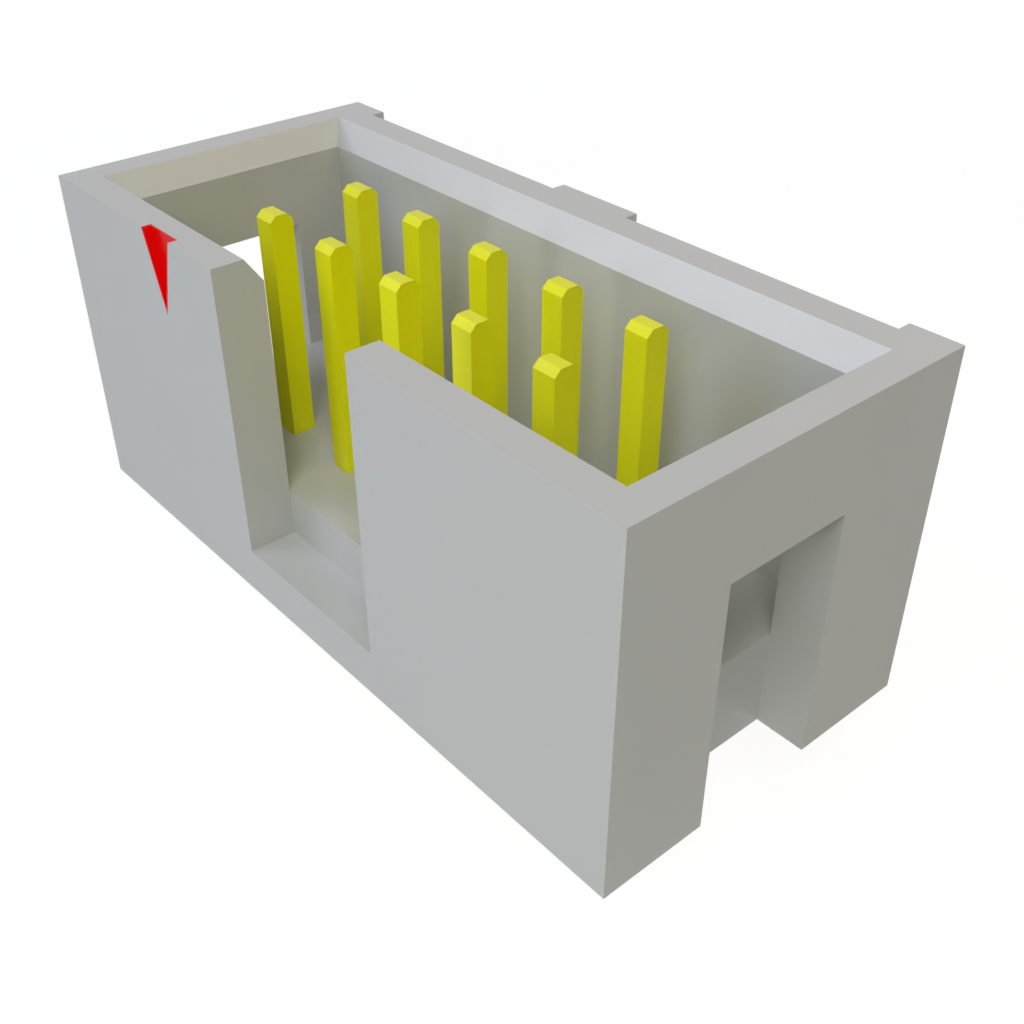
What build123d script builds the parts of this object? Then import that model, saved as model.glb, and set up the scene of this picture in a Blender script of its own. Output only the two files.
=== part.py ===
from build123d import *

import os

# Right-angle box header: a moulded housing with a keyed socket, and two rows of five square pins that
# are pressed through its base, bend towards the side with the standoffs, and end as solder tails.
#
# The origin is in the middle of the pin grid, on the socket's floor. +Z points out of the socket, +X
# runs along the rows away from pin 1, and +Y points at the board that the standoffs sit on.
# All sizes are in millimetres.

# Pin grid
pitch = 2.54
columns = 5
rows = 2

# Housing
end_margin = 5.08  # from the outermost pins' middles to the housing's ends
side_margin = 3.175  # from the outer rows' middles to the front and back faces
wall = 1.27
socket_depth = 6.35
base_thickness = 2.54

# Sloped lead-in round the socket's mouth
lead_in_width = 0.4445
lead_in_depth = 0.635

# Keying notch in the front wall
notch_width = 5.08
notch_sill = 1.27  # height of the notch's lower edge above the rear face

# Windows in the end walls, open at the rear face
window_width = 3.302
window_height = 6.35

# Standoffs on the board side
standoff_height = 0.381
end_standoff_length = 1.27
middle_standoff_length = 2.54

# Pocket in the front wall that marks pin 1, and the paint in it
pocket_width = 1.27
pocket_height = 2.032
pocket_depth = 0.254
paint_thickness = 0.05

# Pins
wire_width = 0.635
tip_recess = 0.254  # how far the tips lie below the rim
tip_chamfer = 0.159
bend_radius = 0.85  # at the middle of the wire
tail_drop = 1.778  # from the rear face to the middle of the nearer row of tails
tail_length = 3.175  # from the standoffs' faces to the tails' ends

# Holes in the base, and the ridge on each pin's flanks that grips in them
hole_clearance = 0.02
hole_flare = 0.15
ridge_length = 0.9
ridge_width = 0.3

# Sizes and places that follow
pin_one_x = -pitch * (columns - 1) / 2
front_row_y = -pitch * (rows - 1) / 2
end = end_margin - pin_one_x
side = side_margin - front_row_y
rim = socket_depth
rear = -base_thickness
socket_end = end - wall
socket_side = side - wall
board = side + standoff_height
hole_width = wire_width + 2 * hole_clearance


def block(low, high):
    """A box between two opposite corners."""
    size = [b - a for a, b in zip(low, high)]
    return Pos(*low) * Box(*size, align=(Align.MIN, Align.MIN, Align.MIN))


def funnel(wide, narrow, z_wide, z_narrow):
    """A four-sided taper between two rectangles, each given as its X and Y widths."""
    return loft([Pos(0, 0, z_wide) * Rectangle(*wide), Pos(0, 0, z_narrow) * Rectangle(*narrow)])


def standoffs():
    """Three pads that hold the housing off the board, two at its ends and one in the middle."""
    half = middle_standoff_length / 2
    spans = [(-end, end_standoff_length - end), (-half, half), (end - end_standoff_length, end)]
    return [block((a, side, rear), (b, board, rim)) for a, b in spans]


def socket():
    """The hollow that the plug slides into, with its sloped lead-in at the mouth."""
    hollow = block((-socket_end, -socket_side, 0), (socket_end, socket_side, rim))
    narrow = (2 * socket_end, 2 * socket_side)
    wide = [width + 2 * lead_in_width for width in narrow]
    return [hollow, funnel(wide, narrow, rim, rim - lead_in_depth)]


def keying_notch():
    """The gap in the front wall that the plug's key runs in, cut to below the socket's floor."""
    half = notch_width / 2
    return block((-half, -side, rear + notch_sill), (half, -socket_side, rim))


def end_windows():
    """Slots through both end walls, from the rear face up."""
    half = window_width / 2
    spans = [(-end, -socket_end), (socket_end, end)]
    return [block((a, -half, rear), (b, half, rear + window_height)) for a, b in spans]


def pin_one_wedge(inset, back):
    """The triangle that points down the front wall at pin 1, from the front face to a given depth.

    An inset moves its two slanted sides inwards and leaves its top edge at the rim.
    """
    slant = (pocket_height**2 + (pocket_width / 2) ** 2) ** 0.5
    half = pocket_width / 2 - inset * slant / pocket_height
    drop = pocket_height - inset * slant / (pocket_width / 2)
    corners = [(pin_one_x - half, rim), (pin_one_x, rim - drop), (pin_one_x + half, rim)]
    outline = Plane.XZ.offset(side) * make_face(Polyline(*corners, close=True))
    return extrude(outline, amount=-back)


def hole():
    """A square hole through the base, flared at the rear where the pin is pressed in."""
    straight = block((-hole_width / 2, -hole_width / 2, rear), (hole_width / 2, hole_width / 2, 0))
    flared = hole_width + 2 * hole_flare
    return straight + funnel((flared, flared), (hole_width, hole_width), rear, rear + hole_flare)


def hole_places():
    """The middle of each hole, pin 1 first, with the odd numbers on the notched side."""
    return [
        (pin_one_x + pitch * column, front_row_y + pitch * row)
        for column in range(columns)
        for row in range(rows)
    ]


def housing():
    """The moulded housing, in one piece."""
    body = block((-end, -side, rear), (end, side, rim))
    body += standoffs()
    body -= socket()
    body -= keying_notch()
    body -= end_windows()
    body -= pin_one_wedge(0, pocket_depth)
    body -= [Pos(x, y, 0) * hole() for x, y in hole_places()]
    return body


def pin_one_mark():
    """The coat of paint on the floor and sides of the pocket."""
    coat = pin_one_wedge(0, pocket_depth)
    return coat - pin_one_wedge(paint_thickness, pocket_depth - paint_thickness)


def ridge(flank):
    """A small wedge coined on one flank of the wire, with its crest at the hole's wall."""
    middle = rear / 2
    face = flank * wire_width / 2
    crest = flank * hole_width / 2
    corners = [
        (face, middle - ridge_length / 2),
        (face, middle + ridge_length / 2),
        (crest, middle + ridge_length / 2),
    ]
    profile = Plane.XZ * make_face(Polyline(*corners, close=True))
    return extrude(profile, amount=ridge_width / 2, both=True)


def pin(row):
    """One pin of a row: square wire from its tip, through the base, round the bend and out to its end."""
    y = front_row_y + pitch * row
    tail_z = rear - tail_drop - pitch * (rows - 1 - row)
    tip = (y, rim - tip_recess)
    tail_end = (board + tail_length, tail_z)
    strip = trace(FilletPolyline(tip, (y, tail_z), tail_end, radius=bend_radius), wire_width)
    corners = strip.vertices().group_by(Axis.Y)[-1] + strip.vertices().group_by(Axis.X)[-1]
    strip = chamfer(corners, tip_chamfer)
    wire = extrude(Plane.YZ * strip, amount=wire_width / 2, both=True)
    return wire + [Pos(0, y, 0) * ridge(flank) for flank in (-1, 1)]


os.makedirs("parts", exist_ok=True)
export_step(housing(), "parts/housing.step")
export_step(pin_one_mark(), "parts/pin_1_mark.step")
for column in range(columns):
    for row in range(rows):
        placed_pin = Pos(pin_one_x + pitch * column, 0, 0) * pin(row)
        export_step(placed_pin, f"parts/pin_{rows * column + row + 1}.step")
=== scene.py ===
# %% [markdown]
# A small keyed header stands on its long solder tails, with the mouth of its socket up. Its solids are
# already made to size, in metres, so this lesson only dresses them: it sets up a camera, a floor and
# soft lamps, and then makes three finishes out of nodes: moulded plastic, plated wire and filled-in
# paint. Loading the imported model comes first, because the floor's height and the finishes depend on it.

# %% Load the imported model
import math

import bmesh
import bpy
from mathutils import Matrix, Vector


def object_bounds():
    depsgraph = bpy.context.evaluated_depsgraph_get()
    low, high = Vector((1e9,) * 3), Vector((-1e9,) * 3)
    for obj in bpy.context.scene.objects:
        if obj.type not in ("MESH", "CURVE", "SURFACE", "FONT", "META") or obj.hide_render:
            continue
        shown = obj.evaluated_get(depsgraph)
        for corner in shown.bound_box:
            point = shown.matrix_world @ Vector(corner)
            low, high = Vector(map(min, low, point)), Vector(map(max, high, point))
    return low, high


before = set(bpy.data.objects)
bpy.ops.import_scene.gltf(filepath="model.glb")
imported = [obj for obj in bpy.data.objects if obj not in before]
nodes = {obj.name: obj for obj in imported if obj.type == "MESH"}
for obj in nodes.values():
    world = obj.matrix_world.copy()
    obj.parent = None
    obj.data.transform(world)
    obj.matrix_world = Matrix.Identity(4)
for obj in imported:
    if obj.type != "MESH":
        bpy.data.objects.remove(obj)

MM = 0.001


def sides_in_mm(box):
    """The three sides of a box, in mm."""
    return [round((high - low) / MM, 2) for low, high in zip(*box)]


cad_box = [list(corner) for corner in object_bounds()]
print("nodes:", ", ".join(sorted(nodes)))
print("size in mm:", sides_in_mm(cad_box))

# %% [markdown]
# The header is pictured from its notched side, above its right end. A camera could be aimed by eye, but
# this one was worked out from the long straight edges of the housing, which meet at three vanishing
# points. That gives the lens, the compass angle and the height all at once. The origin is in the middle
# of the pins, on the socket's floor. The header is small, so the camera has to see things from a
# millimetre away.

# %% The camera
CAMERA_PLACE = Vector((20.929, -16.129, 17.719)) * MM
CAMERA_AZIMUTH = 49.094
CAMERA_ELEVATION = 35.0
LENS_MM = 44.338
SENSOR_MM = 36.0
NEAREST_SEEN = 1 * MM

scene = bpy.context.scene
scene.view_settings.view_transform = "Standard"
camera_data = bpy.data.cameras.new("camera")
camera_data.lens = LENS_MM
camera_data.sensor_width = SENSOR_MM
camera_data.clip_start = NEAREST_SEEN
camera = bpy.data.objects.new("camera", camera_data)
camera.location = CAMERA_PLACE
camera.rotation_euler = (math.radians(90 - CAMERA_ELEVATION), 0, math.radians(CAMERA_AZIMUTH))
scene.collection.objects.link(camera)
scene.camera = camera
print("camera to the origin, in mm:", round(CAMERA_PLACE.length / MM, 1))


# %% [markdown]
# Materials and the world are trees of nodes. They could be wired in the editor, but code can be read and
# run again. Three small helpers keep it short: one adds a node with its settings, one makes a material
# and hands back its main shader, and one mixes two numbers by a third.

# %% Helpers for node trees
def add(tree, kind, **settings):
    """A new node in a tree, with its settings."""
    node = tree.nodes.new(kind)
    for name, value in settings.items():
        setattr(node, name, value)
    return node


def new_material(name):
    """A material, its tree and its main shader."""
    material = bpy.data.materials.new(name)
    material.use_nodes = True
    return material, material.node_tree, material.node_tree.nodes["Principled BSDF"]


def mix_numbers(tree, share, low, high):
    """The number that goes from one to another as a share goes from 0 to 1."""
    mix = add(tree, "ShaderNodeMix", data_type="FLOAT")
    low_input, high_input = [socket for socket in mix.inputs if socket.type == "VALUE"][1:3]
    tree.links.new(share, mix.inputs["Factor"])
    tree.links.new(low, low_input)
    tree.links.new(high, high_input)
    return mix.outputs[0]


print("helpers for node trees: add, new_material, mix_numbers")


# %% [markdown]
# The background is plain white, also where a glossy face mirrors it. Brighter lamps could wash it out to
# white, but they would wash out the header too. The Light Path node tells which kind of ray asks for a
# colour, so the floor and the world can show white to the rays that picture them and stay as they are
# for the rays that carry light. The first helper says how much white each kind of ray sees, and the
# second mixes that much white in.

# %% Helpers for a white background
def share_of_white(tree, camera, mirror):
    """How much plain white a ray sees: a share for camera rays, one for glossy and clear ones, or none."""
    path = add(tree, "ShaderNodeLightPath")
    total = None
    for kind, share in (("Camera", camera), ("Glossy", mirror), ("Transmission", mirror)):
        step = add(tree, "ShaderNodeMath", operation="MULTIPLY_ADD", use_clamp=True)
        step.inputs[1].default_value = share
        step.inputs[2].default_value = 0
        tree.links.new(path.outputs[f"Is {kind} Ray"], step.inputs[0])
        if total:
            tree.links.new(total, step.inputs[2])
        total = step.outputs[0]
    return total


def mix_white_in(tree, share, ordinary, white, output):
    """Gives an output node its ordinary shader, with a share of a white one."""
    mix = add(tree, "ShaderNodeMixShader")
    tree.links.new(share, mix.inputs["Fac"])
    tree.links.new(ordinary.outputs[0], mix.inputs[1])
    tree.links.new(white.outputs[0], mix.inputs[2])
    tree.links.new(mix.outputs[0], tree.nodes[output].inputs["Surface"])


print("helpers for white: share_of_white, mix_white_in")

# %% [markdown]
# The header stands on a plain pale floor. A floor of plain white paint would look grey wherever the
# lamps are far away. So near the header this one mostly glows white to the camera and a little to glossy
# and transmission rays, and the rest of its shade is ordinary paint, which keeps the soft shadow. Further
# out it fades to plain white for the camera, and no edge or horizon is seen.

# %% Floor paint
FLOOR_TONE = 0.85
FLOOR_ROUGHNESS = 0.9
FLOOR_WHITE = 1.2
GLOW_NEAR = {"camera": 0.75, "mirror": 0.2}
GLOW_FAR = {"camera": 1, "mirror": 0.2}
FLOOR_FADE = (40 * MM, 140 * MM)


def far_away(tree, near, far):
    """A mask of how far a point is from the origin, 0 up to one distance and 1 from another."""
    place = add(tree, "ShaderNodeTexCoord")
    distance = add(tree, "ShaderNodeVectorMath", operation="LENGTH")
    fade = add(tree, "ShaderNodeMapRange", interpolation_type="SMOOTHSTEP")
    fade.inputs["From Min"].default_value = near
    fade.inputs["From Max"].default_value = far
    tree.links.new(place.outputs["Object"], distance.inputs[0])
    tree.links.new(distance.outputs["Value"], fade.inputs["Value"])
    return fade.outputs["Result"]


def floor_paint():
    """Matt pale paint that mostly glows white to the camera near the header, and wholly far away."""
    material, tree, paint = new_material("floor_paint")
    paint.inputs["Base Color"].default_value = (FLOOR_TONE, FLOOR_TONE, FLOOR_TONE, 1)
    paint.inputs["Roughness"].default_value = FLOOR_ROUGHNESS
    paint.inputs["Specular IOR Level"].default_value = 0
    white = add(tree, "ShaderNodeEmission")
    white.inputs["Strength"].default_value = FLOOR_WHITE
    near = share_of_white(tree, **GLOW_NEAR)
    far = share_of_white(tree, **GLOW_FAR)
    share = mix_numbers(tree, far_away(tree, *FLOOR_FADE), near, far)
    mix_white_in(tree, share, paint, white, "Material Output")
    return material


print("floor paint fades over, in mm:", [round(distance / MM) for distance in FLOOR_FADE])

# %% [markdown]
# The floor is one large square face at the height of the lowest tails. Its mesh is moved down rather
# than its object, so the paint's distances are measured from the header's own origin. It isn't a piece of
# the header.

# %% The floor
FLOOR_SIZE = 1.0


def make_floor(height):
    """One square face at a height."""
    mesh = bpy.data.meshes.new("floor")
    shape = bmesh.new()
    bmesh.ops.create_grid(shape, x_segments=1, y_segments=1, size=FLOOR_SIZE / 2)
    bmesh.ops.translate(shape, vec=(0, 0, height), verts=shape.verts)
    shape.to_mesh(mesh)
    shape.free()
    floor = bpy.data.objects.new("floor", mesh)
    floor.data.materials.append(floor_paint())
    scene.collection.objects.link(floor)


floor_height = cad_box[0][2]
make_floor(floor_height)
print("floor at, in mm:", round(floor_height / MM, 3))

# %% [markdown]
# Behind the floor there is only the world. This one is white only where it is seen, and otherwise
# gives a very dim even light, so that the lamps do the modelling.

# %% The world
AMBIENT_TONE = (1.0, 1.0, 1.0)
AMBIENT_STRENGTH = 0.01


def make_world():
    """White where it is seen, and a dim even light otherwise."""
    world = bpy.data.worlds.new("world")
    world.use_nodes = True
    tree = world.node_tree
    ambient = tree.nodes["Background"]
    ambient.inputs["Color"].default_value = (*AMBIENT_TONE, 1)
    ambient.inputs["Strength"].default_value = AMBIENT_STRENGTH
    white = add(tree, "ShaderNodeBackground")
    white.inputs["Color"].default_value = (1, 1, 1, 1)
    mix_white_in(tree, share_of_white(tree, camera=1, mirror=1), ambient, white, "World Output")
    scene.world = world


make_world()
print("world's dim light:", AMBIENT_STRENGTH)

# %% [markdown]
# The light is soft and comes from a few round lamps around the header. The strongest is high over the
# corner between the notched wall and the right end, and lights both and the socket. It hangs close, and
# so do the weak one under it and the warm one at the back on the right, so their light fades along the
# header and the left end is a little darker than the right. Three further away, in front and on the left,
# fill the notched wall, and one low behind keeps the board side from going dark. One big lamp would be
# simpler, but it would leave the socket's inside black. Each lamp is given by its compass angle and
# height, as a photographer would say it, with angle 0 in front of the notch and 90 beyond the right end,
# and by its distance and width in millimetres.

# %% List of lamps
LAMPS = {
    "front_right": {"angle": 45, "height": 55, "distance": 90, "width": 45,
                    "watts": 0.034, "tint": (0.96, 0.97, 1.0)},
    "low_right": {"angle": 45, "height": 30, "distance": 90, "width": 45,
                  "watts": 0.0093, "tint": (0.96, 1.0, 0.62)},
    "back_right": {"angle": 135, "height": 50, "distance": 50, "width": 25,
                   "watts": 0.0036, "tint": (1.0, 0.8, 0.53)},
    "front_left": {"angle": 330, "height": 40, "distance": 200, "width": 100,
                   "watts": 0.0715, "tint": (0.72, 0.76, 1.0)},
    "low_left": {"angle": 315, "height": 25, "distance": 200, "width": 100,
                 "watts": 0.083, "tint": (0.78, 0.82, 1.0)},
    "low_front": {"angle": 0, "height": 6, "distance": 200, "width": 40,
                  "watts": 0.039, "tint": (0.95, 1.0, 0.81)},
    "low_behind": {"angle": 180, "height": 10, "distance": 200, "width": 100,
                   "watts": 0.09, "tint": (1.0, 1.0, 1.0)},
}
print("lamps:", ", ".join(LAMPS))

# %% [markdown]
# A lamp's angle and height give a direction, and the lamp is hung that way from a point just above the
# socket's floor and turned to face it. The wider a lamp is for its distance, the softer its shadows and
# highlights are. The camera doesn't see the lamps themselves.

# %% Hang the lamps
LAMP_AIM = Vector((0, 0, 2)) * MM


def make_lamp(name, angle, height, distance, width, watts, tint):
    """A round lamp, with its distance and width in mm, that faces the middle of the socket."""
    turn, rise = math.radians(angle), math.radians(height)
    outward = Vector((math.sin(turn) * math.cos(rise), -math.cos(turn) * math.cos(rise), math.sin(rise)))
    data = bpy.data.lights.new(name, "AREA")
    data.shape = "DISK"
    data.size = width * MM
    data.energy = watts
    data.color = tint
    lamp = bpy.data.objects.new(name, data)
    lamp.location = LAMP_AIM + outward * distance * MM
    lamp.rotation_euler = (-outward).to_track_quat("-Z", "Y").to_euler()
    scene.collection.objects.link(lamp)
    lamp.visible_camera = False


for name, lamp in LAMPS.items():
    make_lamp(name, **lamp)
print("lamps hung:", len(LAMPS))


# %% [markdown]
# Two effects are used by more than one finish, so each is a node group that is built once and placed
# with its own values. A group begins with a node for what it is given and ends with one for its result,
# and both effects start from cloudy noise. It is read at the point's own place on the object, so it
# stays put when the object moves.

# %% Helpers for node groups
def new_group(name, inputs, output):
    """An empty shader group with number sockets, and its two end nodes."""
    group = bpy.data.node_groups.new(name, "ShaderNodeTree")
    for socket, value in inputs.items():
        made = group.interface.new_socket(name=socket, in_out="INPUT", socket_type="NodeSocketFloat")
        made.default_value = value
    group.interface.new_socket(name=output, in_out="OUTPUT", socket_type="NodeSocketFloat")
    return group, add(group, "NodeGroupInput"), add(group, "NodeGroupOutput")


def cloudy_noise(group, given, detail):
    """Noise on Object coordinates, with the scale that the group is given."""
    place = add(group, "ShaderNodeTexCoord")
    noise = add(group, "ShaderNodeTexNoise")
    noise.inputs["Detail"].default_value = detail
    group.links.new(place.outputs["Object"], noise.inputs["Vector"])
    group.links.new(given.outputs["Scale"], noise.inputs["Scale"])
    return noise.outputs["Fac"]


print("helpers for node groups: new_group, cloudy_noise")

# %% [markdown]
# Soft patches are the faint cloudiness of any real surface. Plain noise would do, but it can't be made
# weaker or stronger. So the group spreads it about its middle by a contrast: at 0 the surface is even,
# and at any value it stays as light on the whole.

# %% Soft patches
PATCH_INPUTS = {"Scale": 500, "Contrast": 1}
PATCH_DETAIL = 1
NOISE_MIDDLE = 0.5


def soft_patches_group():
    """A cloudy mask from 0 to 1, 0.5 on the whole. Contrast 0 is even."""
    group, given, result = new_group("soft_patches", PATCH_INPUTS, "Mask")
    centred = add(group, "ShaderNodeMath", operation="SUBTRACT")
    centred.inputs[1].default_value = NOISE_MIDDLE
    spread = add(group, "ShaderNodeMath", operation="MULTIPLY_ADD", use_clamp=True)
    spread.inputs[2].default_value = NOISE_MIDDLE
    group.links.new(cloudy_noise(group, given, PATCH_DETAIL), centred.inputs[0])
    group.links.new(centred.outputs[0], spread.inputs[0])
    group.links.new(given.outputs["Contrast"], spread.inputs[1])
    group.links.new(spread.outputs[0], result.inputs["Mask"])
    return group


soft_patches = soft_patches_group()
print("group:", soft_patches.name)

# %% [markdown]
# Fine grain is the tiny relief that a mould leaves on plastic, and that paint keeps when it dries. Its
# depth is given in metres, so that it means the same in every finish.

# %% Fine grain
GRAIN_INPUTS = {"Scale": 20000, "Depth": 1e-6}
GRAIN_DETAIL = 2


def fine_grain_group():
    """The height of a fine irregular relief, in metres."""
    group, given, result = new_group("fine_grain", GRAIN_INPUTS, "Height")
    height = add(group, "ShaderNodeMath", operation="MULTIPLY")
    group.links.new(cloudy_noise(group, given, GRAIN_DETAIL), height.inputs[0])
    group.links.new(given.outputs["Depth"], height.inputs[1])
    group.links.new(height.outputs[0], result.inputs["Height"])
    return group


fine_grain = fine_grain_group()
print("group:", fine_grain.name)


# %% [markdown]
# Every finish mixes two close tones by a mask, and two sheens by the same mask, because a surface that is
# all one tone looks like a drawing. These helpers place a group with its own values and do both mixes.

# %% Helpers for tones
def place_group(tree, group, **values):
    """A group in a tree, with its own values."""
    node = add(tree, "ShaderNodeGroup", node_tree=group)
    for name, value in values.items():
        node.inputs[name].default_value = value
    return node.outputs[0]


def mix_tones(tree, mask, low_tone, high_tone):
    """The colour that goes from one tone to the other with a mask."""
    mix = add(tree, "ShaderNodeMix", data_type="RGBA")
    low, high = [socket for socket in mix.inputs if socket.type == "RGBA"]
    low.default_value = (*low_tone, 1)
    high.default_value = (*high_tone, 1)
    tree.links.new(mask, mix.inputs["Factor"])
    return [socket for socket in mix.outputs if socket.type == "RGBA"][0]


def span(tree, mask, low, high):
    """A number that goes from low to high with a mask."""
    node = add(tree, "ShaderNodeMapRange")
    node.inputs["To Min"].default_value = low
    node.inputs["To Max"].default_value = high
    tree.links.new(mask, node.inputs["Value"])
    return node.outputs["Result"]


print("helpers for tones: place_group, mix_tones, span")


# %% [markdown]
# Every finish has some relief as well. It is far too fine to model, so a Bump node bends the light's
# angle instead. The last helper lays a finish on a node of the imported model, in every slot it has.

# %% Helpers for relief and for dressing
BUMP_DISTANCE = 1.0


def relief(tree, shader, height):
    """Bends a shader's normal by a height. It is already in metres, so the bump's distance is 1."""
    bump = add(tree, "ShaderNodeBump")
    bump.inputs["Distance"].default_value = BUMP_DISTANCE
    tree.links.new(height, bump.inputs["Height"])
    tree.links.new(bump.outputs["Normal"], shader.inputs["Normal"])


def dress(node, material):
    """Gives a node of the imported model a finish."""
    mesh = nodes[node].data
    if not mesh.materials:
        mesh.materials.append(material)
    for index in range(len(mesh.materials)):
        mesh.materials[index] = material


print("helpers for relief and dressing: relief, dress")

# %% [markdown]
# The housing is moulded from a light grey engineering plastic with glass fibre in it. It is smooth, with
# a soft sheen, and the steel of the mould leaves a grain that is felt more than seen. It could be one
# grey, but then it would look like a drawing: patches about three millimetres wide change the tone by a
# percent or two and the sheen by a little more.

# %% Moulded plastic
PLASTIC_DARK = (0.535, 0.54, 0.53)
PLASTIC_LIGHT = (0.565, 0.57, 0.56)
PLASTIC_ROUGHNESS = (0.22, 0.26)
PLASTIC_PATCHES = {"Scale": 300, "Contrast": 1}
PLASTIC_GRAIN = {"Scale": 5000, "Depth": 0.3e-6}


def moulded_plastic():
    """Light grey plastic with a soft sheen and a fine mould grain."""
    material, tree, shader = new_material("moulded_plastic")
    patches = place_group(tree, soft_patches, **PLASTIC_PATCHES)
    tree.links.new(mix_tones(tree, patches, PLASTIC_DARK, PLASTIC_LIGHT), shader.inputs["Base Color"])
    tree.links.new(span(tree, patches, *PLASTIC_ROUGHNESS), shader.inputs["Roughness"])
    relief(tree, shader, place_group(tree, fine_grain, **PLASTIC_GRAIN))
    return material


dress("housing", moulded_plastic())
print("housing dressed")

# %% [markdown]
# The pins are square wire, drawn through a die and then plated. Drawing leaves very fine lines along the
# wire. They could be a picture wrapped round each pin, but noise that is stretched along the wire needs
# no picture: it is stretched upwards above the bend and outwards below it, where the wire turns.

# %% Drawn lines
LINES_ACROSS = 15000
LINES_ALONG = 400
LINES_DETAIL = 2
BEND_HEIGHT = -3.5 * MM


def stretched_noise(tree, place, along):
    """Noise that is stretched along one axis. The stretch sets its scale."""
    scale = [LINES_ALONG if axis == along else LINES_ACROSS for axis in "XYZ"]
    stretch = add(tree, "ShaderNodeMapping")
    stretch.inputs["Scale"].default_value = scale
    noise = add(tree, "ShaderNodeTexNoise")
    noise.inputs["Scale"].default_value = 1
    noise.inputs["Detail"].default_value = LINES_DETAIL
    tree.links.new(place.outputs["Object"], stretch.inputs["Vector"])
    tree.links.new(stretch.outputs["Vector"], noise.inputs["Vector"])
    return noise.outputs["Fac"]


def drawn_lines(tree):
    """A mask of fine lines that run along the wire, up above the bend and outwards below it."""
    place = add(tree, "ShaderNodeTexCoord")
    upright, outward = [stretched_noise(tree, place, along) for along in ("Z", "Y")]
    split = add(tree, "ShaderNodeSeparateXYZ")
    below = add(tree, "ShaderNodeMath", operation="LESS_THAN")
    below.inputs[1].default_value = BEND_HEIGHT
    tree.links.new(place.outputs["Object"], split.inputs[0])
    tree.links.new(split.outputs["Z"], below.inputs[0])
    return mix_numbers(tree, below.outputs[0], upright, outward)


print("lines turn at, in mm:", round(BEND_HEIGHT / MM, 1))

# %% [markdown]
# The plating is a strong yellow. It could be made a metal, but a metal takes its tone from what it
# mirrors, and it would turn pale above and dark below. So it is a coloured surface with a weak gloss,
# which keeps its yellow all round, and the lines show as a slight change of sheen and not as stripes.

# %% Plated wire
PLATING_DEEP = (0.85, 0.85, 0.002)
PLATING_BRIGHT = (0.89, 0.89, 0.003)
PLATING_ROUGHNESS = (0.30, 0.38)
PLATING_SPECULAR = 0.3
LINE_DEPTH = 0.2e-6


def plated_wire():
    """Yellow plated wire with fine drawn lines along it."""
    material, tree, shader = new_material("plated_wire")
    lines = drawn_lines(tree)
    tree.links.new(mix_tones(tree, lines, PLATING_DEEP, PLATING_BRIGHT), shader.inputs["Base Color"])
    tree.links.new(span(tree, lines, *PLATING_ROUGHNESS), shader.inputs["Roughness"])
    shader.inputs["Specular IOR Level"].default_value = PLATING_SPECULAR
    height = add(tree, "ShaderNodeMath", operation="MULTIPLY")
    height.inputs[1].default_value = LINE_DEPTH
    tree.links.new(lines, height.inputs[0])
    relief(tree, shader, height.outputs[0])
    return material


wire = plated_wire()
pins = [name for name in nodes if name.startswith("pin_") and not name.endswith("mark")]
for name in pins:
    dress(name, wire)
print("pins dressed:", len(pins))

# %% [markdown]
# The triangle that points at pin 1 is a shallow pocket filled in with red paint. A flat red would look
# printed. Paint pools, so its tone is a little uneven, with patches under half a millimetre wide, and it
# dries with a slight sheen.

# %% Mark paint
MARK_DEEP = (0.79, 0.001, 0.001)
MARK_BRIGHT = (0.87, 0.002, 0.002)
MARK_ROUGHNESS = (0.23, 0.27)
MARK_SPECULAR = 0.15
MARK_PATCHES = {"Scale": 2500, "Contrast": 1.5}
MARK_GRAIN = {"Scale": 5000, "Depth": 0.4e-6}


def mark_paint():
    """Red paint with a slight sheen, a little uneven."""
    material, tree, shader = new_material("mark_paint")
    patches = place_group(tree, soft_patches, **MARK_PATCHES)
    tree.links.new(mix_tones(tree, patches, MARK_DEEP, MARK_BRIGHT), shader.inputs["Base Color"])
    tree.links.new(span(tree, patches, *MARK_ROUGHNESS), shader.inputs["Roughness"])
    shader.inputs["Specular IOR Level"].default_value = MARK_SPECULAR
    relief(tree, shader, place_group(tree, fine_grain, **MARK_GRAIN))
    return material


dress("pin_1_mark", mark_paint())
print("mark dressed")
